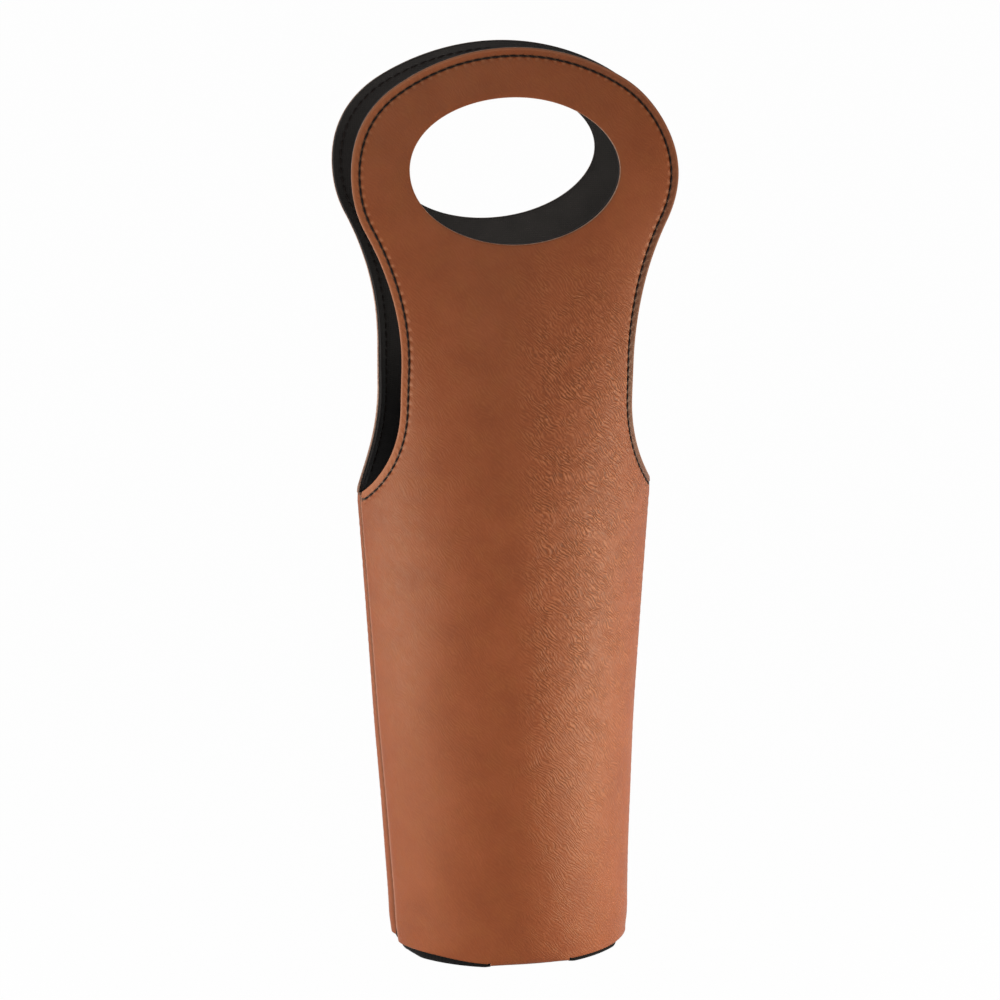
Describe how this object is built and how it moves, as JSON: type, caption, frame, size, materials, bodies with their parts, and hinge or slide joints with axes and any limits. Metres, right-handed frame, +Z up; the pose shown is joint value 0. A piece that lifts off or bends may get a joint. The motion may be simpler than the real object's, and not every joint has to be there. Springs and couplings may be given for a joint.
{
  "type": "bottle carrier",
  "caption": "Tall leatherette sleeve for a single bottle, open at the sides above the body, with handle flaps at front and back that have oval hand holes and flex open.",
  "frame": {"origin": "middle of the base, on the floor", "axes": "+Z up, +X to the right seen from the front, the front panel faces -Y"},
  "size_m": [0.1356, 0.0858, 0.3794],
  "materials": {
    "leatherette": "satin",
    "lining": "matte",
    "interlining": "matte",
    "thread": "satin",
    "base_cloth": "matte",
    "board": "matte"
  },
  "bodies": {
    "sleeve": {"front_panel": "leatherette", "front_interlining": "interlining", "front_lining": "lining", "front_armhole_stitching": "thread", "back_panel": "leatherette", "back_interlining": "interlining", "back_lining": "lining", "back_armhole_stitching": "thread", "left_seam_thread": "thread", "left_seam_tape": "lining", "left_base_gusset": "base_cloth", "left_base_thread": "thread", "right_seam_thread": "thread", "right_seam_tape": "lining", "right_base_gusset": "base_cloth", "right_base_thread": "thread", "base_strap": "leatherette", "base_board": "board", "base_lining": "lining"},
    "front_handle": {"front_handle_panel": "leatherette", "front_handle_core": "interlining", "front_handle_lining": "lining", "front_handle_stitching": "thread"},
    "back_handle": {"back_handle_panel": "leatherette", "back_handle_core": "interlining", "back_handle_lining": "lining", "back_handle_stitching": "thread"}
  },
  "joints": [
    {"name": "front_flex", "type": "hinge", "parent": "sleeve", "child": "front_handle", "pos_m": [0, -0.02996, 0.224], "axis": [1, 0, 0], "range_deg": [-2.6, 30], "stiffness_Nm_per_rad": 0.3},
    {"name": "back_flex", "type": "hinge", "parent": "sleeve", "child": "back_handle", "pos_m": [0, 0.02996, 0.224], "axis": [-1, 0, 0], "range_deg": [-4.6, 28], "stiffness_Nm_per_rad": 0.3}
  ]
}
